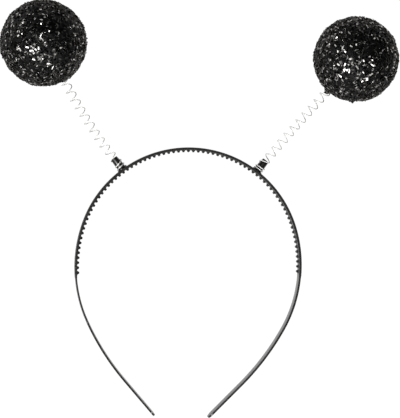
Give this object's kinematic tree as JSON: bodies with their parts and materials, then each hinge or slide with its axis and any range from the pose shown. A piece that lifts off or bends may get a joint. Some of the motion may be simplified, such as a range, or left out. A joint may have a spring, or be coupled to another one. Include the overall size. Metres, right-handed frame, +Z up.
{
  "type": "antenna headband",
  "caption": "Costume headband: a springy comb-toothed plastic arch whose crown pegs carry black glitter balls on open wire springs, so that they sway.",
  "frame": {"origin": "middle of the object's footprint, on the surface that it lies on", "axes": "+X across the head, +Y from the ear tips towards the balls, +Z up from the surface; the band stands on one long edge"},
  "size_m": [0.2148, 0.224, 0.0465],
  "materials": {
    "moulded_black": "glossy black injection-moulded plastic",
    "nickel_wire": "bright nickel-plated spring wire",
    "black_glitter": "coarse black glitter bonded over light foam"
  },
  "bodies": {
    "band": {"comb_headband": "moulded_black", "spring_left": "nickel_wire", "spring_right": "nickel_wire"},
    "bobble_left": {"ball_left": "black_glitter"},
    "bobble_right": {"ball_right": "black_glitter"}
  },
  "joints": [
    {"name": "left_sway", "type": "hinge", "parent": "band", "child": "bobble_left", "pos_m": [-0.05719, 0.04444, 0.004], "axis": [0, 0, 1], "range_deg": [-30, 30], "stiffness_Nm_per_rad": 0.0077, "deforming": ["spring_left"]},
    {"name": "right_sway", "type": "hinge", "parent": "band", "child": "bobble_right", "pos_m": [0.05283, 0.04782, 0.004], "axis": [0, 0, -1], "range_deg": [-30, 30], "stiffness_Nm_per_rad": 0.0077, "deforming": ["spring_right"]}
  ]
}
